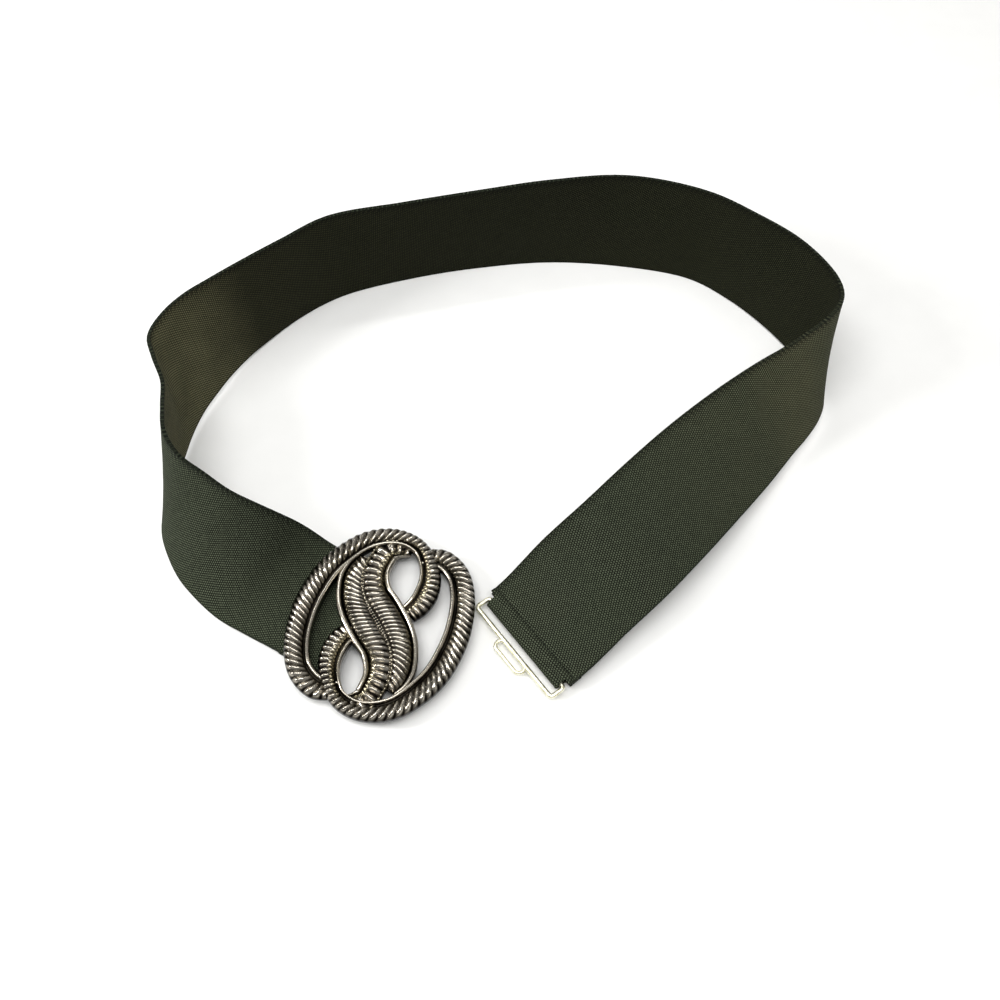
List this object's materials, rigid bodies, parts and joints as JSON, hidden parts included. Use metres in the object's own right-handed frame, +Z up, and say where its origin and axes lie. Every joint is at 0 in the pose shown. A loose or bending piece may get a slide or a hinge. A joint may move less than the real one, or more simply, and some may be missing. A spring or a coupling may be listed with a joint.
{
  "type": "stretch belt",
  "caption": "Woven stretch waist belt lying in an open loop, with a pierced rope-ribbed cast buckle and a wire clasp loop in its hem.",
  "frame": {"origin": "middle of the belt's footprint, on the table it lies on", "axes": "+X along the belt's widest way across, from its buckle side to its right bend; +Y to the back of the loop; +Z up from the table"},
  "size_m": [0.2934, 0.2456, 0.0513],
  "materials": {
    "woven_elastic": "dark green woven elastic",
    "antiqued_casting": "antiqued silver, polished high points",
    "pale_wire": "pale gold plated wire"
  },
  "bodies": {
    "belt": {"elastic_band": "woven_elastic", "buckle": "antiqued_casting"},
    "clasp": {"clasp_loop": "pale_wire"}
  },
  "joints": [
    {"name": "clasp_turn", "type": "hinge", "parent": "belt", "child": "clasp", "pos_m": [0.01025, -0.08848, 0.00354], "axis": [-0.6093, 0.7928, 0.0141], "range_deg": [-80, 80]}
  ]
}
